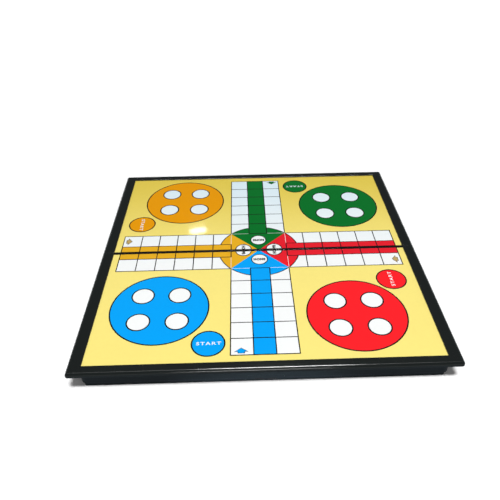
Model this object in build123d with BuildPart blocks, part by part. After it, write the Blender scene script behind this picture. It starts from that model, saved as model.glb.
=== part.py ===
from build123d import *
import os

# A folding board game box, open flat on a table with its hollow side down. Each half is a
# moulded tray with a steel sheet and a printed sheet on its deck, held down by a rim frame
# on three sides. The halves fold about two pinned hinges under the seam, so that the trays
# close face to face and the playing surface is outside. Sizes are in millimetres: X runs
# along the seam, Y from the front half to the rear half, and Z up from the table.

# Whole board
board_width = 251.0  # along the seam, over the rims
half_depth = 124.2  # from the middle of the seam to the outer edge of the rim
half_height = 18.4  # from the table to the top of the rim
seam_gap = 0.3  # between the two halves

# Rim frame
side_rim_width = 9.0  # from a short side of the half to the window over the print
outer_rim_width = 7.4  # from the outer side to the window
rim_plate = 1.0  # thickness of the top of the rim
rim_edge_radius = 2.2  # rounding of the outer top edge
rim_corner_radius = 1.6  # corners of the board, in plan
rim_window_radius = 0.5  # corners of the window, in plan
rim_window_bevel = 0.4  # inner top edge, beside the print
skirt_wall = 1.6
skirt_drop = 1.8  # of the skirt below the top plate

# Steel sheet and printed sheet
steel_thickness = 0.4
print_thickness = 0.3
sheet_overlap = 0.9  # of the sheets under the rim
sheet_clearance = 0.1  # round the sheets in their pocket

# Tray
side_wall_inset = 6.9  # from a short side of the rim to the outer face of the wall
outer_wall_inset = 5.6  # from the outer side of the rim to the outer face of the wall
wall_thickness = 2.4
wall_corner_radius = 3.0  # outer corners of the wall, in plan
deck_thickness = 1.5
flange_thickness = 1.2  # of the ledge that carries the rim frame
flange_clearance = 0.2  # between the ledge and the skirt
seam_wall = 2.0
seam_lip = 0.9  # upright edge of the deck beside the sheets, along the seam
rib_thickness = 1.2
rib_depth = 1.6  # of the ribs under the deck
cross_rib_count = 5  # ribs from the seam to the outer wall
cross_rib_pitch = 40.0
long_rib_count = 2  # ribs along the seam
long_rib_pitch = 38.0

# Nesting edges: the rear tray's outer lip closes over the front tray's inner lip
outer_lip = 0.9
lip_clearance = 0.2  # between the two lips
lip_end_clearance = 0.25  # above the end of each lip when the box is closed
parting_clearance = 0.15  # of each seam wall from the plane where the trays meet

# Hinges
barrel_radius = 1.8
pin_radius = 0.8
pin_clearance = 0.05  # round the pin
knuckle_length = 7.0
knuckle_gap = 0.3
knuckle_count = 5  # in one hinge, the first and the last on the rear tray
hinge_inset = 14.0  # from the side wall to the outer end of each hinge
barrel_clearance = 0.3  # between a knuckle and the other tray
pin_stop = 1.0  # closed end of the bore, at the outer end of each hinge

# Stakes that hold the rim frame on the tray, melted over under the ledge
stake_radius = 1.0
stake_clearance = 0.15
stake_head_radius = 1.6
stake_head_height = 0.5
stake_head_taper = 25.0  # degrees
outer_stake_count = 3  # along the outer side of a half
outer_stake_pitch = 88.0
side_stake_count = 2  # along each short side of a half
side_stake_pitch = 60.0

# Snap catch at the middle of the outer walls
bead_radius = 0.5
bead_proud = 0.35
bead_length = 6.0
bead_pitch = 8.5
bead_height = 1.6  # of the beads above the table
groove_clearance = 0.2  # round the beads in their grooves
thumb_width = 24.0
thumb_height = 2.8  # of the thumb notch above the nested lip
thumb_radius = 1.5

# Heights
axis_z = barrel_radius  # the knuckles touch the table
parting_z = axis_z + parting_clearance
lip_top_z = 2 * axis_z + lip_end_clearance
seat_z = half_height - rim_plate  # underside of the rim's top plate
skirt_z = seat_z - skirt_drop
flange_z = seat_z - flange_thickness
print_z = seat_z - print_thickness
steel_z = print_z - steel_thickness
deck_z = steel_z - deck_thickness

# Distances from the middle of the board, along X and along Y
half_width = board_width / 2
near = seam_gap / 2
wall_x = half_width - side_wall_inset
wall_y = half_depth - outer_wall_inset
hollow_x = wall_x - wall_thickness
hollow_y = wall_y - wall_thickness
hollow_radius = max(wall_corner_radius - wall_thickness, 0.5)
seam_wall_y = near + seam_wall
flange_x = half_width - skirt_wall - flange_clearance
flange_y = half_depth - skirt_wall - flange_clearance
window_x = half_width - side_rim_width
window_y = half_depth - outer_rim_width
sheet_x = window_x + sheet_overlap
sheet_y = window_y + sheet_overlap
sheet_near = near + seam_lip + sheet_clearance
lip_inner = outer_lip  # from the outer face of the wall to the inner face of the outer lip
lip_outer = outer_lip + lip_clearance  # and to the outer face of the inner lip
stake_x = (wall_x + flange_x) / 2
stake_y = (wall_y + flange_y) / 2
hinge_length = knuckle_count * (knuckle_length + knuckle_gap) - knuckle_gap
hinge_x = hollow_x - hinge_inset - hinge_length / 2


def half_outline(height, side_x, near_y, far_y, corner_radius):
    """Plan of one half at a height, with its two far corners rounded."""
    with BuildSketch(Plane.XY.offset(height)) as outline:
        with Locations((0, (near_y + far_y) / 2)):
            Rectangle(2 * side_x, far_y - near_y)
        fillet(outline.vertices().group_by(Axis.Y)[-1], corner_radius)
    return outline.sketch


def stake_places():
    """Places of the stakes, along the outer side and both short sides of a half."""
    side_middle = (near + flange_y) / 2
    outer = [(x, stake_y) for x in spread(0, outer_stake_pitch, outer_stake_count)]
    sides = [
        (side * stake_x, y)
        for side in (-1, 1)
        for y in spread(side_middle, side_stake_pitch, side_stake_count)
    ]
    return outer + sides


def spread(middle, pitch, count):
    """Evenly spaced places about a middle."""
    return [middle + (i - (count - 1) / 2) * pitch for i in range(count)]


def knuckle_places(first):
    """Middles of every second knuckle of both hinges, counted from the first one given."""
    pitch = knuckle_length + knuckle_gap
    return [
        (x, 0, axis_z)
        for side in (-1, 1)
        for x in spread(side * hinge_x, pitch, knuckle_count)[first::2]
    ]


def half_tray(is_front):
    """One moulded tray. The front one is made behind the seam too, and then mirrored."""
    with BuildPart() as tray:
        # Box with its ledge, and the pocket for the two sheets
        extrude(half_outline(0, wall_x, near, wall_y, wall_corner_radius), amount=seat_z)
        extrude(
            half_outline(flange_z, flange_x, near, flange_y, rim_corner_radius),
            amount=flange_thickness,
        )
        pocket = half_outline(
            steel_z,
            sheet_x + sheet_clearance,
            near + seam_lip,
            sheet_y + sheet_clearance,
            rim_corner_radius,
        )
        extrude(pocket, amount=seat_z - steel_z, mode=Mode.SUBTRACT)

        # Hollow, with a seam wall that stops short of the plane where the trays meet
        extrude(
            half_outline(0, hollow_x, seam_wall_y, hollow_y, hollow_radius),
            amount=deck_z,
            mode=Mode.SUBTRACT,
        )
        with BuildSketch(Plane.XY):
            with Locations((0, seam_wall_y / 2)):
                Rectangle(2 * hollow_x, seam_wall_y)
        extrude(amount=parting_z, mode=Mode.SUBTRACT)

        # Ribs under the deck
        rib_middle = (seam_wall_y + hollow_y) / 2
        with BuildSketch(Plane.XY.offset(deck_z - rib_depth)):
            with Locations(*[(x, rib_middle) for x in spread(0, cross_rib_pitch, cross_rib_count)]):
                Rectangle(rib_thickness, hollow_y - seam_wall_y)
            with Locations(*[(0, y) for y in spread(rib_middle, long_rib_pitch, long_rib_count)]):
                Rectangle(2 * hollow_x, rib_thickness)
        extrude(amount=rib_depth)

        # The lower edge of the walls keeps its outer part on the rear tray, as a lip that
        # closes over the front tray, and its inner part on the front tray
        with BuildSketch(Plane.XY) as rebate:
            if is_front:
                add(half_outline(0, half_width, 0, half_depth, rim_corner_radius))
                kept = (lip_outer, wall_corner_radius - lip_outer)
            else:
                kept_radius = wall_corner_radius - lip_inner
                add(half_outline(0, wall_x - lip_inner, 0, wall_y - lip_inner, kept_radius))
                kept = (wall_thickness + lip_clearance, 0.5)
            inset, inner_radius = kept
            add(
                half_outline(0, wall_x - inset, 0, wall_y - inset, inner_radius),
                mode=Mode.SUBTRACT,
            )
        extrude(amount=lip_top_z, mode=Mode.SUBTRACT)

        # Knuckles of both hinges, with room for the other tray's knuckles
        own, other = (1, 0) if is_front else (0, 1)
        with Locations(*knuckle_places(own)):
            Cylinder(barrel_radius, knuckle_length, rotation=(0, 90, 0))
        with Locations(*knuckle_places(other)):
            Cylinder(
                barrel_radius + barrel_clearance,
                knuckle_length + 2 * knuckle_gap,
                rotation=(0, 90, 0),
                mode=Mode.SUBTRACT,
            )

        # Bores, closed at the outer end, and a groove to slide each pin in along the seam
        bore_length = 2 * hinge_length - pin_stop
        bore_middle = hinge_x + hinge_length / 2 - pin_stop - bore_length / 2
        with Locations((-bore_middle, 0, axis_z), (bore_middle, 0, axis_z)):
            Cylinder(
                pin_radius + pin_clearance,
                bore_length,
                rotation=(0, 90, 0),
                mode=Mode.SUBTRACT,
            )

        # Holes for the stakes of the rim frame
        with BuildSketch(Plane.XY.offset(flange_z)):
            with Locations(*stake_places()):
                Circle(stake_radius + stake_clearance)
        extrude(amount=flange_thickness, mode=Mode.SUBTRACT)

        # Snap catch: two beads on the front tray, two grooves in the rear tray's lip
        bead_y = wall_y - lip_outer + bead_proud - bead_radius
        beads = spread(0, bead_pitch, 2)
        if is_front:
            with Locations(*[(x, bead_y, bead_height) for x in beads]):
                Cylinder(bead_radius, bead_length, rotation=(0, 90, 0))
            with BuildSketch(Plane.XZ.offset(-wall_y)) as notch:
                with Locations((0, lip_top_z + thumb_height / 2)):
                    Rectangle(thumb_width, thumb_height)
                fillet(notch.vertices().group_by(Axis.Y)[-1], thumb_radius)
            extrude(amount=lip_outer, mode=Mode.SUBTRACT)
            mirror(tray.part, about=Plane.XZ, mode=Mode.REPLACE)
        else:
            with Locations(*[(x, bead_y, 2 * axis_z - bead_height) for x in beads]):
                Cylinder(
                    bead_radius + groove_clearance,
                    bead_length + 2 * groove_clearance,
                    rotation=(0, 90, 0),
                    mode=Mode.SUBTRACT,
                )
    return tray


def half_frame(is_front):
    """One rim frame, open along the seam, with its outer top edges rounded to a mitre."""
    with BuildPart() as frame:
        extrude(
            half_outline(skirt_z, half_width, near, half_depth, rim_corner_radius),
            amount=half_height - skirt_z,
        )
        with BuildSketch(Plane.XZ) as from_front:
            with Locations((0, half_height / 2)):
                Rectangle(board_width, half_height)
            fillet(from_front.vertices().group_by(Axis.Y)[-1], rim_edge_radius)
        extrude(amount=half_depth, both=True, mode=Mode.INTERSECT)
        with BuildSketch(Plane.YZ) as from_side:
            with Locations((0, half_height / 2)):
                Rectangle(2 * half_depth, half_height)
            fillet(from_side.vertices().group_by(Axis.Y)[-1], rim_edge_radius)
        extrude(amount=half_width, both=True, mode=Mode.INTERSECT)

        # Room for the tray's ledge, and the window over the print
        ledge_x, ledge_y = half_width - skirt_wall, half_depth - skirt_wall
        extrude(
            half_outline(skirt_z, ledge_x, 0, ledge_y, rim_corner_radius),
            amount=skirt_drop,
            mode=Mode.SUBTRACT,
        )
        extrude(
            half_outline(seat_z, window_x, 0, window_y, rim_window_radius),
            amount=rim_plate,
            mode=Mode.SUBTRACT,
        )
        bevel_z = half_height - rim_window_bevel
        extrude(
            half_outline(bevel_z, window_x, 0, window_y, rim_window_radius),
            amount=rim_window_bevel,
            taper=-45,
            mode=Mode.SUBTRACT,
        )

        # Stakes through the ledge, with their melted heads
        with BuildSketch(Plane.XY.offset(flange_z)):
            with Locations(*stake_places()):
                Circle(stake_radius)
        extrude(amount=flange_thickness)
        with BuildSketch(Plane.XY.offset(flange_z)):
            with Locations(*stake_places()):
                Circle(stake_head_radius)
        extrude(amount=-stake_head_height, taper=stake_head_taper)
        if is_front:
            mirror(frame.part, about=Plane.XZ, mode=Mode.REPLACE)
    return frame


def half_sheet(bottom, thickness, is_front):
    """One flat sheet in the pocket of a tray."""
    with BuildPart() as sheet:
        extrude(
            half_outline(bottom, sheet_x, sheet_near, sheet_y, rim_corner_radius),
            amount=thickness,
        )
        if is_front:
            mirror(sheet.part, about=Plane.XZ, mode=Mode.REPLACE)
    return sheet


def hinge_pin(side):
    """One steel pin, from the closed end of its bore to the inner end of the hinge."""
    pin_length = hinge_length - pin_stop - 2 * pin_clearance
    pin_middle = side * (hinge_x - pin_stop / 2)
    with BuildPart(Plane.YZ.offset(pin_middle)) as pin:
        with Locations((0, axis_z, 0)):
            Cylinder(pin_radius, pin_length)
    return pin


os.makedirs("parts", exist_ok=True)

rear_tray = half_tray(is_front=False)
rear_tray.part.label = "rear_tray"
export_step(rear_tray.part, "parts/rear_tray.step")

front_tray = half_tray(is_front=True)
front_tray.part.label = "front_tray"
export_step(front_tray.part, "parts/front_tray.step")

rear_frame = half_frame(is_front=False)
rear_frame.part.label = "rear_rim_frame"
export_step(rear_frame.part, "parts/rear_rim_frame.step")

front_frame = half_frame(is_front=True)
front_frame.part.label = "front_rim_frame"
export_step(front_frame.part, "parts/front_rim_frame.step")

rear_steel = half_sheet(steel_z, steel_thickness, is_front=False)
rear_steel.part.label = "rear_steel_sheet"
export_step(rear_steel.part, "parts/rear_steel_sheet.step")

front_steel = half_sheet(steel_z, steel_thickness, is_front=True)
front_steel.part.label = "front_steel_sheet"
export_step(front_steel.part, "parts/front_steel_sheet.step")

rear_print = half_sheet(print_z, print_thickness, is_front=False)
rear_print.part.label = "rear_printed_sheet"
export_step(rear_print.part, "parts/rear_printed_sheet.step")

front_print = half_sheet(print_z, print_thickness, is_front=True)
front_print.part.label = "front_printed_sheet"
export_step(front_print.part, "parts/front_printed_sheet.step")

left_pin = hinge_pin(side=-1)
left_pin.part.label = "left_hinge_pin"
export_step(left_pin.part, "parts/left_hinge_pin.step")

right_pin = hinge_pin(side=1)
right_pin.part.label = "right_hinge_pin"
export_step(right_pin.part, "parts/right_hinge_pin.step")
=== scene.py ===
import math

import bmesh
import bpy
from mathutils import Matrix, Vector


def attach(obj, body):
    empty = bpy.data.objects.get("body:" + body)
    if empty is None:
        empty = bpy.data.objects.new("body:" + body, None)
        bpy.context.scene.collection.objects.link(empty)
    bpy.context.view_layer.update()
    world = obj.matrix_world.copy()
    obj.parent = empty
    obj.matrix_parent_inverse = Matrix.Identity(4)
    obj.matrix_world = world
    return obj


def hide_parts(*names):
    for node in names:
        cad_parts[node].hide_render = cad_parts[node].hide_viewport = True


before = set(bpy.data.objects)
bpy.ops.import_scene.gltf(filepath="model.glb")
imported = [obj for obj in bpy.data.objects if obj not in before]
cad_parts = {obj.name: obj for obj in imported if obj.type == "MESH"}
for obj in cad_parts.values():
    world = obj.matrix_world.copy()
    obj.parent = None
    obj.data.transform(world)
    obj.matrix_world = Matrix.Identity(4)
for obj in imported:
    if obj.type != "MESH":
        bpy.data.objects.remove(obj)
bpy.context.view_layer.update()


# ---- Trays ----
# The two shallow trays are black high-impact polystyrene, moulded glossy and handled since, so the
# gloss is cloudy, the outer walls are lightly scuffed and the sharp edges are a little broken.
mm = 0.001
plastic_black = (0.0056, 0.0076, 0.0080, 1)
plastic_dust = (0.060, 0.066, 0.070, 1)
plastic_ior = 1.40
moulded_edge = 0.30 * mm
lip_foot = 16.7 * mm              # the deck, with the lip along the fold above it
lip_rise = 0.3 * mm               # over which the gloss of the lip sets in
handling = 28                     # patches to the metre
dust_specks = 900
mould_grain = 2600
grain_depth = 0.0012 * mm
sinkage = 60                      # slow waves of the moulded faces, to the metre
sink_depth = 0.012 * mm
wear_turns = (12, -31)            # how the two sets of scratches lie, in degrees
wear_scales = (900, 700)


class Value:
    """One socket of a shader, so that a finish can be written as sums and products of masks."""

    def __init__(self, socket):
        self.socket = socket

    def node(self, kind, settings, inputs, output=0):
        """A node of the same shader: its settings first, then the values or links of its sockets."""
        shader = self.socket.id_data
        made = shader.nodes.new("ShaderNode" + kind)
        for name, setting in settings.items():
            setattr(made, name, setting)
        for name, given in inputs.items():
            if isinstance(given, Value):
                shader.links.new(given.socket, made.inputs[name])
            else:
                made.inputs[name].default_value = given
        return Value(made.outputs[output]) if made.outputs else None

    def worked(self, operation, first, second):
        """One sum or product, of numbers or of vectors as this socket is."""
        if self.socket.type == "VALUE":
            return self.node("Math", {"operation": operation}, {0: first, 1: second})
        return self.node("VectorMath", {"operation": operation}, {0: first, 1: second})

    def __add__(self, other):
        return self.worked("ADD", self, other)

    def __radd__(self, other):
        return self.worked("ADD", other, self)

    def __sub__(self, other):
        return self.worked("SUBTRACT", self, other)

    def __rsub__(self, other):
        return self.worked("SUBTRACT", other, self)

    def __mul__(self, other):
        return self.worked("MULTIPLY", self, other)

    def __rmul__(self, other):
        return self.worked("MULTIPLY", other, self)


def new_finish(name):
    """An empty material, and the place on the piece that its patterns are laid out by."""
    material = bpy.data.materials.new(name)
    material.use_nodes = True
    material.node_tree.nodes.clear()
    coordinates = material.node_tree.nodes.new("ShaderNodeTexCoord")
    return material, Value(coordinates.outputs["Object"])


def cloud(place, per_metre, detail=2.0):
    """Soft uneven spots, 0 to 1, so many to the metre."""
    return place.node("TexNoise", {}, {"Vector": place, "Scale": per_metre, "Detail": detail})


def above(value, low, high):
    """0 below low, 1 above high, and smooth between."""
    return value.node("MapRange", {"interpolation_type": "SMOOTHSTEP"},
                      {"Value": value, "From Min": low, "From Max": high})


def between(mask, first, second):
    """The first colour where the mask is 0, the second where it is 1."""
    return mask.node("Mix", {"data_type": "RGBA"}, {0: mask, 6: first, 7: second}, output=2)


def scratches(place, turn, per_metre):
    """Fine straight scratches that lie one way, as sliding on a table leaves them."""
    slenderness = 0.02
    turned = place.node("Mapping", {}, {"Vector": place, "Rotation": (0, 0, math.radians(turn)),
                                        "Scale": (per_metre, per_metre * slenderness, per_metre)})
    streaks = turned.node("TexNoise", {}, {"Vector": turned, "Scale": 1.0, "Detail": 3.0})
    return above(streaks, 0.66, 0.74)


def relief(surface, height, depth):
    """Turns a height pattern into a bump of that depth, on a surface normal or on the bare shape."""
    inputs = {"Height": height, "Distance": depth, "Strength": 1.0}
    if surface:
        inputs["Normal"] = surface
    return height.node("Bump", {}, inputs)


def coat(place, sockets):
    """Finishes the material with its one surface."""
    surface = place.node("BsdfPrincipled", {}, sockets)
    place.node("OutputMaterial", {}, {"Surface": surface})


def moulded_plastic(name, black, roughness, scuffing, top_roughness):
    """Handled black plastic, with a gloss of its own at the top, beside the print."""
    material, place = new_finish(name)
    height = place.node("SeparateXYZ", {}, {"Vector": place}, output=2)
    top = above(height, lip_foot, lip_foot + lip_rise)
    handled = cloud(place, handling, 4)
    dust = above(cloud(place, dust_specks, 3), 0.66, 0.80) * above(handled, 0.45, 0.75)
    scuffs = (scratches(place, wear_turns[0], wear_scales[0])
              + scratches(place, wear_turns[1], wear_scales[1]))
    rounded = place.node("Bevel", {"samples": 4}, {"Radius": moulded_edge})
    grained = relief(rounded, cloud(place, mould_grain, 2), grain_depth)
    coat(place, {
        "Base Color": between(dust * 0.5 + scuffs * scuffing, black, plastic_dust),
        "Roughness": (handled * 0.10 + scuffs * (0.6 * scuffing) + top * (top_roughness - roughness)
                      + (roughness - 0.05)),
        "Normal": relief(grained, cloud(place, sinkage, 1), sink_depth),
        "IOR": plastic_ior,
    })
    return material


def refinish(node, material):
    """Gives a solid of the frame its finish, and leaves its mesh alone."""
    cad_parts[node].data.materials.clear()
    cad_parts[node].data.materials.append(material)


tray_plastic = moulded_plastic("tray plastic", plastic_black, roughness=0.30, scuffing=0.30,
                               top_roughness=0.08)
for half in ("rear", "front"):
    refinish(half + "_tray", tray_plastic)


# ---- Hinge pins ----
# Two bright drawn steel wires, cut to length and pushed in from the ends of the knuckles.
# The die leaves fine lines along the wire.
wire_bright = (0.56, 0.55, 0.53, 1)
wire_dull = (0.30, 0.29, 0.28, 1)
wire_dulling = 300                # dull spots to the metre
die_lines = (40, 5000, 5000)      # to the metre, long in the direction of the wire
die_line_depth = 0.003 * mm

drawn_wire, place = new_finish("drawn wire")
along = place.node("Mapping", {}, {"Vector": place, "Scale": die_lines})
drawing = along.node("TexNoise", {}, {"Vector": along, "Scale": 1.0, "Detail": 3.0})
coat(place, {
    "Base Color": between(above(cloud(place, wire_dulling, 3), 0.45, 0.75), wire_bright, wire_dull),
    "Metallic": 1.0,
    "Roughness": drawing * 0.16 + 0.22,
    "Normal": relief(None, drawing, die_line_depth),
})
for side in ("left", "right"):
    refinish(side + "_hinge_pin", drawn_wire)


# ---- Steel sheets ----
# Thin galvanised sheet, sheared to the size of each half. It lies under the print and holds the
# magnetic tokens; the zinc has its usual spangle.
zinc_light = (0.50, 0.51, 0.53, 1)
zinc_dark = (0.36, 0.37, 0.39, 1)
spangles = 260                    # flakes of zinc to the metre
spangle_waver = 1.5 * mm
zinc_grain = 500
zinc_depth = 0.004 * mm

galvanised, place = new_finish("galvanised sheet")
wavering = place + (cloud(place, 200, 2) - 0.5) * spangle_waver
spangle = place.node("TexVoronoi", {"feature": "F1"}, {"Vector": wavering, "Scale": spangles}, output=1)
flake = spangle.node("SeparateColor", {}, {"Color": spangle})
coat(place, {
    "Base Color": between(flake, zinc_dark, zinc_light),
    "Metallic": 1.0,
    "Roughness": flake * 0.15 + 0.33,
    "Normal": relief(None, cloud(place, zinc_grain, 3), zinc_depth),
})
for half in ("rear", "front"):
    refinish(half + "_steel_sheet", galvanised)


# ---- Printed sheets ----
# Art paper printed yellow, laminated with a clear gloss film and glued to the steel. The film is
# not quite flat, so what it mirrors is slightly drawn out. The yellow is painted darker to the rear, as
# painted shade.
yellow_front = (0.925, 0.780, 0.218, 1)
# Painted shade: the darker yellow that the print turns to towards the rear.
shaded_yellow_rear = (0.760, 0.590, 0.084, 1)
half_depth = 124.2 * mm
# Where the painted shade towards the rear begins.
painted_shade_from = -25.0 * mm
border_black = (0.003, 0.003, 0.003, 1)
border_edge = 1.62 * mm           # the print ends in a black border beside the fold
border_blur = 0.02 * mm
mottle_black = (0.0, 0.0, 0.0, 1)
ink_grain = 420                   # spots to the metre, as all of these are
ink_clouds = 35
smudges = 22
film_ior = 1.48
film_waves = 24
film_wave_depth = 0.035 * mm
film_grain = 700
film_grain_depth = 0.0006 * mm


def laminated(name, ink, shaded_ink=None, near=painted_shade_from, far=half_depth):
    """Ink under the gloss film, black beside the fold. Towards the rear it turns to a darker ink, which
    is painted shade.
    """
    material, place = new_finish(name)
    # Painted shade: between near and far the ink darkens to the shaded ink.
    if shaded_ink:
        reach = place.node("SeparateXYZ", {}, {"Vector": place}, output=1)
        ink = between(above(reach, near, far), ink, shaded_ink)
    from_middle = place.node("VectorMath", {"operation": "ABSOLUTE"}, {0: place})
    from_fold = from_middle.node("SeparateXYZ", {}, {"Vector": from_middle}, output=1)
    ink = between(above(from_fold, border_edge - border_blur, border_edge), border_black, ink)
    mottle = cloud(place, ink_grain, 4) * 0.05 + cloud(place, ink_clouds, 2) * 0.04
    worn = scratches(place, 24, 500) + scratches(place, -58, 380)
    smudged = above(cloud(place, smudges, 3), 0.48, 0.70)
    film = relief(None, cloud(place, film_waves, 1), film_wave_depth)
    coat(place, {
        "Base Color": between(mottle, ink, mottle_black),
        "Roughness": smudged * 0.03 + worn * 0.03 + 0.05,
        "Normal": relief(film, cloud(place, film_grain, 1), film_grain_depth),
        "IOR": film_ior,
    })
    return material


yellow_print = laminated("yellow print", yellow_front, shaded_yellow_rear)
for half in ("rear", "front"):
    refinish(half + "_printed_sheet", yellow_print)


# ---- Board print: outlines ----
# The traditional cross and circle: four arms of three by six squares, a round home in each corner
# and a circle in the middle. The dark plate prints first and shows as lines between the colours.
# Places of round marks are in millimetres, with the turn of their words in degrees.
ink_thickness = 0.02 * mm
# The layers of ink, from the sheet up: the dark plate and the colours in turn.
plate_1, colour_1, plate_2, colour_2, plate_3, colour_3, top_plate = range(1, 8)
sheet_top = 17.4 * mm
sheet_edge = 1.15 * mm            # each sheet ends this far from the fold's centre
window_x = 116.4 * mm             # half the width of the print that shows
line = 0.78 * mm                  # line around the squares, the lanes and the middle circle
ring = 1.00 * mm                  # line around the homes, their spots and the starting discs
square_x = 14.8 * mm              # squares of the left and right arms, along the arm
square_y = 14.65 * mm             # squares of the front and rear arms, along the arm
arm_x = 22.5 * mm                 # half the width of the front and rear arms
arm_y = 23.0 * mm                 # half the width of the left and right arms
lane_x = 7.4 * mm                 # half the width of the coloured lane in the front and rear arms
lane_y = 8.3 * mm                 # and in the left and right arms
squares = 6
reach_x = arm_x + squares * square_x      # where the arms end
reach_y = arm_y + squares * square_y
centre_radius = math.hypot(arm_x, arm_y)
home_radius = 34.8 * mm
homes = {"blue": (-72.9, -65.4), "red": (65.5, -75.8),
         "green": (74.0, 65.0), "orange": (-64.8, 76.1)}
dot_radius = 7.95 * mm
dot_offset = 13.3 * mm
start_radius = 10.95 * mm
starts = {"blue": (-37.2, -100.1, 0), "red": (98.1, -40.2, 90),
          "green": (38.0, 99.7, 180), "orange": (-99.6, 40.7, -90)}
middle_radius = 6.2 * mm
middles = {"blue": (0, -12.2, 0), "red": (12.3, 0.4, 90),
           "green": (0, 13.6, 180), "amber": (-12.5, 0.4, -90)}
parted = 1.2 * mm                 # how far each sheet's part of a disc on the fold is set off
letter_spacing = 1.2
home_word = {"text": "HOME", "width": 9.0 * mm, "height": 2.5 * mm, "weight": 0.22 * mm}
dark_ink = (0.007, 0.008, 0.010, 1)


def level(layer):
    """The height of a layer of ink; each one lies on the layer before."""
    return sheet_top + (layer - 1) * ink_thickness


def disc(ink, x, y, radius, layer, segments=64):
    """A round mark, which is given back as its vertices."""
    place = Matrix.Translation((x, y, level(layer)))
    return bmesh.ops.create_circle(ink, cap_ends=True, segments=segments, radius=radius,
                                   matrix=place)["verts"]


def patch(ink, x0, y0, x1, y1, layer):
    """A rectangular mark between two corners."""
    place = Matrix.Translation(((x0 + x1) / 2, (y0 + y1) / 2, level(layer)))
    size = Matrix.Diagonal((abs(x1 - x0), abs(y1 - y0), 1, 1))
    bmesh.ops.create_grid(ink, x_segments=1, y_segments=1, size=0.5, matrix=place @ size)


def dots(x, y):
    """The places of the four round spots in a home."""
    return [(x + i * dot_offset, y + j * dot_offset) for i in (-1, 1) for j in (-1, 1)]


def part(marks):
    """Sets off the two halves of a mark that the fold divides, each on its own sheet."""
    for v in marks:
        v.co.y += math.copysign(parted, v.co.y)


def word(ink, x, y, turn, layer, text, width, height, weight, moved=0):
    """A printed word, set to a width and a height, made bolder and turned to face its player."""
    letters = bpy.data.curves.new(text, "FONT")
    letters.body, letters.space_character = text, letter_spacing
    mesh = bpy.data.meshes.new_from_object(bpy.data.objects.new(text, letters))
    corners = [v.co for v in mesh.vertices]
    low = [min(c[i] for c in corners) for i in (0, 1)]
    high = [max(c[i] for c in corners) for i in (0, 1)]
    centred = Matrix.Translation((-(low[0] + high[0]) / 2, -(low[1] + high[1]) / 2, 0))
    scaled = Matrix.Diagonal((width / (high[0] - low[0]), height / (high[1] - low[1]), 1, 1))
    mesh.transform(scaled @ centred)
    bold = bmesh.new()
    bold.from_mesh(mesh)
    outwards = {}
    for contour in (edge for edge in bold.edges if edge.is_boundary):
        loop = contour.link_loops[0]
        run = loop.link_loop_next.vert.co - loop.vert.co
        for v in contour.verts:
            outwards.setdefault(v, []).append(Vector((run.y, -run.x, 0)).normalized())
    for v, sides in outwards.items():
        mitre = sides[0] + sides[-1]
        v.co += mitre * (weight / max(mitre.dot(sides[0]), 0.5))
    bold.to_mesh(mesh)
    bold.free()
    turned = Matrix.Rotation(math.radians(turn), 4, "Z") @ Matrix.Translation((moved, 0, 0))
    mesh.transform(Matrix.Translation((x, y, level(layer))) @ turned)
    ink.from_mesh(mesh)
    bpy.data.meshes.remove(mesh)
    bpy.data.curves.remove(letters)
    ink.verts.ensure_lookup_table()
    return ink.verts[-len(corners):]


def print_ink(ink, name, material, halves=("front", "rear"), edge=border_edge):
    """Cuts an ink at the fold and gives it its thickness, one piece for each half."""
    for half in halves:
        side = 1 if half == "rear" else -1
        film = ink.copy()
        bmesh.ops.bisect_plane(film, geom=film.verts[:] + film.edges[:] + film.faces[:], dist=1e-7,
                               plane_co=(0, side * edge, 0), plane_no=(0, -side, 0), clear_outer=True)
        bmesh.ops.remove_doubles(film, verts=film.verts, dist=1e-6)
        raised = bmesh.ops.extrude_face_region(film, geom=film.faces[:])["geom"]
        bmesh.ops.translate(film, verts=[v for v in raised if isinstance(v, bmesh.types.BMVert)],
                            vec=(0, 0, ink_thickness))
        bmesh.ops.recalc_face_normals(film, faces=film.faces)
        mesh = bpy.data.meshes.new(f"{half}_{name}_ink")
        film.to_mesh(mesh)
        film.free()
        mesh.materials.append(material)
        piece = bpy.data.objects.new(mesh.name, mesh)
        bpy.context.collection.objects.link(piece)
        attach(piece, half + "_half")
    ink.free()


outline = bmesh.new()
for end in (-1, 1):
    patch(outline, end * (arm_x - line), -arm_y - line / 2,
          end * (reach_x + line / 2), arm_y + line / 2, plate_1)
    patch(outline, -arm_x - line / 2, end * (arm_y + line),
          arm_x + line / 2, end * (reach_y + line / 2), plate_1)
disc(outline, 0, 0, centre_radius + line / 2, plate_2, 128)
for x, y in homes.values():
    disc(outline, x * mm, y * mm, home_radius + ring / 2, plate_1, 128)
    for dot_x, dot_y in dots(x * mm, y * mm):
        disc(outline, dot_x, dot_y, dot_radius + ring / 2, plate_2)
for x, y, turn in starts.values():
    disc(outline, x * mm, y * mm, start_radius + ring / 2, plate_1)
for end in (-1, 1):
    patch(outline, end * (arm_x - line / 2), -lane_y - line / 2,
          end * (reach_x + line / 2), lane_y + line / 2, plate_3)
    patch(outline, -lane_x - line / 2, end * (arm_y - line / 2),
          lane_x + line / 2, end * (reach_y + line / 2), plate_3)
patch(outline, -window_x, -border_edge, window_x, border_edge, colour_1)
for x, y, turn in middles.values():
    marks = disc(outline, x * mm, y * mm, middle_radius + line / 2, plate_3)
    marks += word(outline, x * mm, y * mm, turn, top_plate, **home_word)
    if x:
        part(marks)
dark_print = laminated("dark print", dark_ink)
print_ink(outline, "outline", dark_print, edge=sheet_edge)


# ---- Board print: white ----
# The squares that the tokens run on, the spots in the homes, the discs in the middle and the
# words for the starting squares are left in the paper's own white, with painted shade that greys it
# towards the rear.
paper_white = (0.900, 0.920, 0.918, 1)
# Painted shade: the greyer, bluer white that the print turns to towards the rear.
shaded_white = (0.700, 0.850, 0.920, 1)
hairline = 0.28 * mm              # pale edge of the middle square, beside the lanes
start_word = {"text": "START", "width": 16.4 * mm, "height": 2.6 * mm, "weight": 0.07 * mm,
              "moved": 0.4 * mm}

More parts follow.
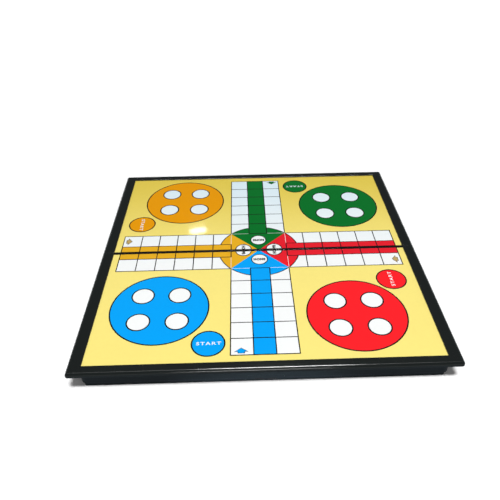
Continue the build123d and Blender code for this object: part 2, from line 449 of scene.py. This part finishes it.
white = bmesh.new()
for end in (-1, 1):
    for i in range(squares):
        for hand in (-1, 1):
            x, y = arm_x + i * square_x, arm_y + i * square_y
            patch(white, end * (x + line / 2), hand * (lane_y + line / 2),
                  end * (x + square_x - line / 2), hand * (arm_y - line / 2), colour_1)
            patch(white, hand * (lane_x + line / 2), end * (y + line / 2),
                  hand * (arm_x - line / 2), end * (y + square_y - line / 2), colour_1)
for x, y in homes.values():
    for dot_x, dot_y in dots(x * mm, y * mm):
        disc(white, dot_x, dot_y, dot_radius - ring / 2, colour_2)
for x, y, turn in starts.values():
    word(white, x * mm, y * mm, turn, plate_2, **start_word)
for x, y, turn in middles.values():
    marks = disc(white, x * mm, y * mm, middle_radius - line / 2, colour_3)
    if x:
        part(marks)
for end in (-1, 1):
    for hand in (-1, 1):
        patch(white, end * arm_x - hairline / 2, hand * (lane_y + line / 2),
              end * arm_x + hairline / 2, hand * arm_y, plate_3)
        patch(white, hand * (lane_x + line / 2), end * arm_y - hairline / 2,
              hand * arm_x, end * arm_y + hairline / 2, plate_3)
print_ink(white, "white", laminated("white print", paper_white, shaded_white))


# ---- Board print: the four players' colours ----
# Each player has a home, a starting disc, a lane of squares and a quarter of the middle circle,
# printed solid in one colour. The orange player's lane and quarter are the paler amber.
colours = {"blue": (0.000, 0.360, 0.920, 1), "red": (0.960, 0.015, 0.022, 1),
           "green": (0.000, 0.158, 0.020, 1), "orange": (0.800, 0.320, 0.000, 1),
           "amber": (0.780, 0.412, 0.016, 1)}
# Painted shade: the red print turns darker from 42 mm in front of the fold to the fold, and stays so on
# the rear half.
shaded_red = (0.760, 0.013, 0.026, 1)       # of the red lane, towards the fold
red_shade_span = (-42 * mm, 0)                 # from here to here
ways = {"blue": (0, -1), "red": (1, 0), "green": (0, 1), "amber": (-1, 0)}
printed_halves = {"blue": ("front",), "green": ("rear",), "orange": ("rear",)}      # or both


def trim(ink, corners, across):
    """Cuts a mark along a line through the middle and drops what lies in that direction."""
    touching = {g for v in corners for g in (v, *v.link_edges, *v.link_faces)}
    cut = bmesh.ops.bisect_plane(ink, geom=list(touching), dist=1e-7, plane_co=(0, 0, 0),
                                 plane_no=across, clear_outer=True)["geom"]
    return [g for g in cut if isinstance(g, bmesh.types.BMVert) and g.is_valid]


for name, colour in colours.items():
    ink = bmesh.new()
    if name in homes:
        x, y = homes[name]
        disc(ink, x * mm, y * mm, home_radius - ring / 2, colour_1, 128)
    if name in starts:
        x, y, turn = starts[name]
        disc(ink, x * mm, y * mm, start_radius - ring / 2, colour_1)
    if name in ways:
        way_x, way_y = ways[name]
        quarter = disc(ink, 0, 0, centre_radius - line / 2, colour_2, 128)
        if way_x:
            for hand in (-1, 1):
                quarter = trim(ink, quarter, (-way_x * arm_y, hand * arm_x, 0))
            for x in (arm_x + i * square_x for i in range(squares)):
                patch(ink, way_x * (x + line / 2), line / 2 - lane_y,
                      way_x * (x + square_x - line / 2), lane_y - line / 2, colour_3)
        else:
            for hand in (-1, 1):
                quarter = trim(ink, quarter, (hand * arm_y, -way_y * arm_x, 0))
            for y in (arm_y + i * square_y for i in range(squares)):
                patch(ink, line / 2 - lane_x, way_y * (y + line / 2),
                      lane_x - line / 2, way_y * (y + square_y - line / 2), colour_3)
    halves = printed_halves.get(name, ("front", "rear"))
    # The red print gets its painted shade towards the rear.
    painted_shade = (shaded_red, *red_shade_span) if name == "red" else ()
    print_ink(ink, name, laminated(name + " print", colour, *painted_shade), halves)


# ---- Board print: arrows ----
# A small outlined arrow in the outermost square before each lane points the way in. Those of the
# side arms are printed in gold.
arrow_gold = (0.510, 0.360, 0.125, 1)
arrow_half_width = 4.7 * mm
arrow_head = 3.5 * mm
arrow_stem = 1.4 * mm
stem_half_width = 2.4 * mm
arrow_line = 0.40 * mm


def arrow(ink, x, y, turn, layer, less=0):
    """An arrow with its tail at the given place, and smaller by so much all round."""
    place = Matrix.Translation((x, y, level(layer))) @ Matrix.Rotation(math.radians(turn), 4, "Z")
    stem, head = stem_half_width - less, arrow_half_width - 2 * less
    shoulder, tip = arrow_stem + less, arrow_stem + arrow_head - 1.3 * less
    ink.faces.new([ink.verts.new(place @ Vector((i, j, 0))) for i, j in (
        (-stem, less), (stem, less), (stem, shoulder), (head, shoulder), (0, tip),
        (-head, shoulder), (-stem, shoulder))])


arrow_print = {name: laminated(name + " arrow print", colour) for name, colour in (
    ("gold", arrow_gold), ("blue", colours["blue"]), ("green", colours["green"]))}
arrow_edges = bmesh.new()
for name, half, x, y, turn in (
        ("blue", "front", -15.5, -109.5, 0), ("green", "rear", 16.0, 109.5, 180),
        ("gold", "rear", -109.2, 15.75, -90), ("gold", "front", 109.2, -16.2, 90)):
    arrow(arrow_edges, x * mm, y * mm, turn, plate_2)
    ink = bmesh.new()
    arrow(ink, x * mm, y * mm, turn, colour_2, arrow_line)
    print_ink(ink, name + "_arrow", arrow_print[name], (half,))
print_ink(arrow_edges, "arrow_edge", dark_print)


# ---- Rim frames ----
# A moulded frame closes each half: it laps over the print's edge and down over the tray's ledge,
# and its stakes go through the ledge and are melted into flat heads from below.
frame_top = 18.4 * mm
lap_bottom = 17.4 * mm
skirt_bottom = 15.6 * mm
ledge_bottom = 16.2 * mm
half_width = 125.5 * mm
side_rim = 9.0 * mm
outer_rim = 7.4 * mm
skirt_wall = 1.6 * mm
edge_radius = 2.2 * mm            # of the outer top edge, and of the corners in plan
edge_segments = 12
corner_steps = 6
window_bevel = 0.4 * mm
bevel_segments = 4
sharp_angle = 35                  # degrees, past which an edge isn't shaded smooth
fold_gap = 0.15 * mm
stake_radius = 1.0 * mm
stake_sides = 24
stake_root = 0.05 * mm            # how far a stake runs up into the frame
head_radius = 1.6 * mm
head_height = 0.5 * mm
outer_stakes = [(x * mm, 120.5 * mm) for x in (-88, 0, 88)]
side_stakes = [(x * mm, y * mm) for x in (-121.15, 121.15) for y in (31.275, 91.275)]
rim_black = (0.0094, 0.0118, 0.0114, 1)

rim_plastic = moulded_plastic("rim plastic", rim_black, roughness=0.11, scuffing=0.03,
                              top_roughness=0.11)


def round_corner(inset, turn):
    """Where a point of the section stands in a corner: 0 at the short side, 1 at the outer one."""
    swing = max(edge_radius - inset, 0)
    x, y = half_width - max(inset, edge_radius), half_depth - max(inset, edge_radius)
    if inset > side_rim / 2:
        y += side_rim - outer_rim
    return x + swing * math.cos(turn * math.pi / 2), y + swing * math.sin(turn * math.pi / 2)


def stake(rim, x, y):
    """A stake of the frame and its melted head, turned about its middle."""
    contour = [(0, ledge_bottom - head_height), (0.75 * head_radius, ledge_bottom - head_height),
               (0.95 * head_radius, ledge_bottom - 0.6 * head_height), (head_radius, ledge_bottom),
               (stake_radius, ledge_bottom), (stake_radius, lap_bottom + stake_root),
               (0, lap_bottom + stake_root)]
    points = [rim.verts.new((x + radius, y, z)) for radius, z in contour]
    edges = [rim.edges.new(pair) for pair in zip(points, points[1:])]
    bmesh.ops.spin(rim, geom=points + edges, cent=(x, y, 0), axis=(0, 0, 1), steps=stake_sides,
                   angle=math.tau, use_merge=True)


for half in ("rear", "front"):
    side = 1 if half == "rear" else -1
    rim = bmesh.new()
    section = rim.faces.new([rim.verts.new((inset - half_width, side * fold_gap, z)) for inset, z in (
        (0, skirt_bottom), (0, frame_top), (side_rim, frame_top), (side_rim, lap_bottom),
        (skirt_wall, lap_bottom), (skirt_wall, skirt_bottom))])
    corners = section.verts[:]
    for corner, radius, segments in ((corners[1], edge_radius, edge_segments),
                                     (corners[2], window_bevel, bevel_segments)):
        bmesh.ops.bevel(rim, geom=[corner], affect="VERTICES", offset=radius, segments=segments,
                        profile=0.5, material=-1)
    from_edge = rim.verts.layers.float.new("from_edge")
    for v in rim.verts:
        v[from_edge] = half_width + v.co.x
    turns = [i / corner_steps for i in range(corner_steps + 1)]
    first_end = end = rim.faces[:]
    for hand, turn in [(-1, t) for t in turns] + [(1, 1 - t) for t in turns] + [(1, None)]:
        grown = bmesh.ops.extrude_face_region(rim, geom=end)["geom"]
        if end != first_end:
            bmesh.ops.delete(rim, geom=end, context="FACES_ONLY")
        end = [g for g in grown if isinstance(g, bmesh.types.BMFace)]
        for v in end[0].verts:
            x, y = half_width - v[from_edge], fold_gap
            if turn is not None:
                x, y = round_corner(v[from_edge], turn)
            v.co.x, v.co.y = hand * x, side * y
    for x, y in outer_stakes + side_stakes:
        stake(rim, x, side * y)
    bmesh.ops.remove_doubles(rim, verts=rim.verts, dist=1e-6)
    bmesh.ops.recalc_face_normals(rim, faces=rim.faces)
    for face in rim.faces:
        face.smooth = True
    for edge in rim.edges:
        edge.smooth = edge.calc_face_angle(0) < math.radians(sharp_angle)
    mesh = bpy.data.meshes.new(half + "_rim")
    rim.to_mesh(mesh)
    rim.free()
    mesh.materials.append(rim_plastic)
    piece = bpy.data.objects.new(mesh.name, mesh)
    bpy.context.collection.objects.link(piece)
    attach(piece, half + "_half")
    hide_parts(half + "_rim_frame")


# ---- Table, light and camera ----
# A white table top under the board, soft lamps overhead and an even pale room around it. The table
# is white where it is looked at, and grey where it only lights the board or is mirrored in it, with a
# painted pool of paler, bluer light beside the board's walls, which they mirror as a painted sheen.
# When the front half is folded under, the table gives way by the height of the closed box.
table_size = 2.6
near_white = (1.0, 1.0, 1.0, 1)
far_white = (2.4, 2.4, 2.4, 1)            # where the lamp is weaker
white_fades = (0.15, 1.30)                # from this far out to this far
# Painted light: the table is paler and bluer beside the board, so that its walls mirror a painted
# sheen.
painted_sheen_grey = (0.55, 0.74, 0.90, 1)         # beside the walls of the board
far_grey = (0.23, 0.28, 0.32, 1)
sheen_fades = (0.118, 0.142)

table_finish, place = new_finish("white table")
seen = place.node("LightPath", {}, {}, output=0)
distance = place.node("VectorMath", {"operation": "LENGTH"}, {0: place}, output=1)
table_white = between(above(distance, *white_fades), near_white, far_white)
# Painted light: the grey that the board mirrors is paler near its walls, a painted sheen.
table_grey = between(above(distance, *sheen_fades), painted_sheen_grey, far_grey)
matt = place.node("BsdfDiffuse", {}, {"Color": between(seen, table_grey, table_white)})
place.node("OutputMaterial", {}, {"Surface": matt})
table = bmesh.new()
bmesh.ops.create_grid(table, x_segments=1, y_segments=1, size=table_size / 2)
mesh = bpy.data.meshes.new("table")
table.to_mesh(mesh)
table.free()
mesh.materials.append(table_finish)
floor = bpy.data.objects.new("table", mesh)
bpy.context.collection.objects.link(floor)
resting = bpy.data.objects.new("folded_under", None)
bpy.context.collection.objects.link(resting)
resting.location = (0, -half_depth, frame_top)
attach(resting, "front_half")
under = floor.constraints.new("FLOOR")
under.target = resting
under.floor_location = "FLOOR_NEGATIVE_Z"

room_light = 0.25
mirrored_walls = 0.90
mirrored_ceiling = 0.08

room = bpy.data.worlds.new("room")
bpy.context.scene.world = room
room.use_nodes = True
room.node_tree.nodes.clear()
around = Value(room.node_tree.nodes.new("ShaderNodeTexCoord").outputs["Generated"])
up = around.node("SeparateXYZ", {}, {"Vector": around}, output=2)
ray = room.node_tree.nodes.new("ShaderNodeLightPath")
camera_ray, glossy_ray = Value(ray.outputs["Is Camera Ray"]), Value(ray.outputs["Is Glossy Ray"])
mirrored_room = mirrored_walls - above(up, 0.05, 0.40) * (mirrored_walls - mirrored_ceiling)
unseen = glossy_ray * mirrored_room + (1.0 - glossy_ray) * room_light
pale = around.node("Background", {}, {"Color": (1, 1, 1, 1),
                                      "Strength": camera_ray + (1.0 - camera_ray) * unseen})
around.node("OutputWorld", {}, {"Surface": pale})

for name, stands, size, watts, lights_object, shows_in_gloss in (
        ("overhead lamp", (0.09, -0.80, 1.75), (0.45, 0.25), 35.9, True, False),
        ("ceiling panel", (0.08, 0.36, 1.19), (0.50, 0.22), 24.0, False, True),
        ("near window", (0.00, -1.25, 0.68), (0.60, 0.20), 6.0, False, True),
        ("pale ceiling", (0.00, 0.43, 1.42), (1.60, 0.22), 5.0, False, True),
        ("room lamp", (-0.209, 1.53, 1.066), (0.075, 0.020), 0.080, False, True)):
    light = bpy.data.lights.new(name, "AREA")
    light.shape, light.size, light.size_y, light.energy = "ELLIPSE", size[0], size[1], watts
    lamp = bpy.data.objects.new(name, light)
    bpy.context.collection.objects.link(lamp)
    lamp.visible_diffuse, lamp.visible_glossy = lights_object, shows_in_gloss
    lamp.location = stands
    lamp.rotation_euler = (-Vector(stands)).to_track_quat("-Z", "Y").to_euler()

view_from = (-0.01192, -0.34026, 0.27587)
view_turn = -1.379                        # degrees about the vertical
view_down = 37.200                        # degrees below the horizon
view_roll = -0.629
focal_length = 38.034                     # millimetres, as the sensor's width
sensor_width = 36.0
sideways_shift = -0.0087

view = bpy.data.cameras.new("camera")
view.lens, view.sensor_width, view.shift_x = focal_length, sensor_width, sideways_shift
view.clip_start = 0.01
camera = bpy.data.objects.new("camera", view)
bpy.context.collection.objects.link(camera)
camera.matrix_world = (Matrix.Translation(view_from)
                       @ Matrix.Rotation(math.radians(view_turn), 4, "Z")
                       @ Matrix.Rotation(math.radians(90 - view_down), 4, "X")
                       @ Matrix.Rotation(math.radians(view_roll), 4, "Z"))
bpy.context.scene.camera = camera
bpy.context.scene.view_settings.view_transform = "Standard"
